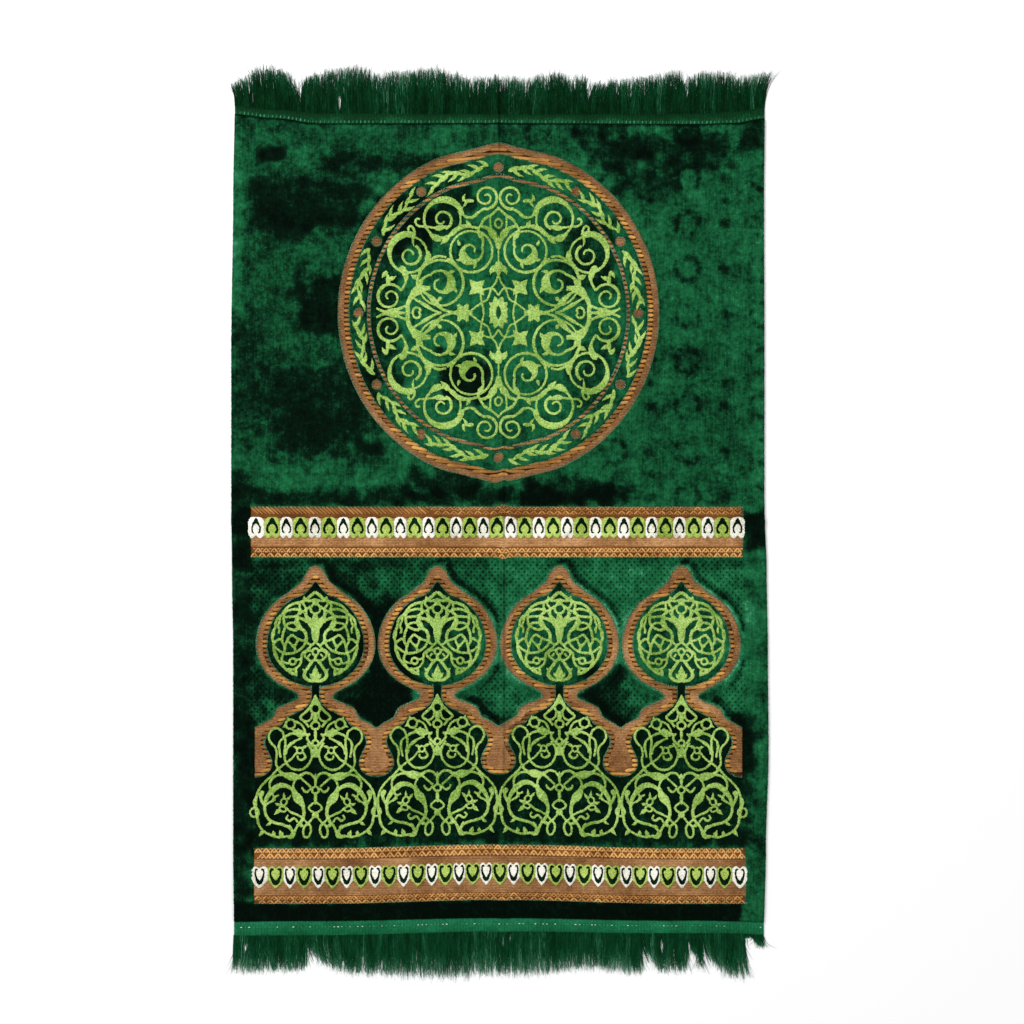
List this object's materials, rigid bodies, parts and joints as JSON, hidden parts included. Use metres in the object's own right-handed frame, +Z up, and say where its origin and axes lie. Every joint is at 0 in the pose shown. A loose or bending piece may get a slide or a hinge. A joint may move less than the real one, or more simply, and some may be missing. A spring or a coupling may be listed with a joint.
{
  "type": "prayer rug",
  "caption": "Flat rectangular prayer rug with a dark green pile, flat woven bands, medallion ring and arches let into it, soft fold marks and a fringed tape along each short end",
  "frame": {"origin": "bottom centre of the rug's box, on the floor it lies on", "axes": "X across the rug, Y along it towards the end with the round medallion, Z up out of the pile"},
  "size_m": [0.711, 1.1934, 0.0069],
  "materials": {
    "rug_cloth": "soft cut pile with flat woven bands",
    "fringe_yarn": "loose soft yarn"
  },
  "bodies": {
    "root": {"rug_body": "rug_cloth", "fringe_top": "fringe_yarn", "fringe_bottom": "fringe_yarn"}
  },
  "joints": []
}
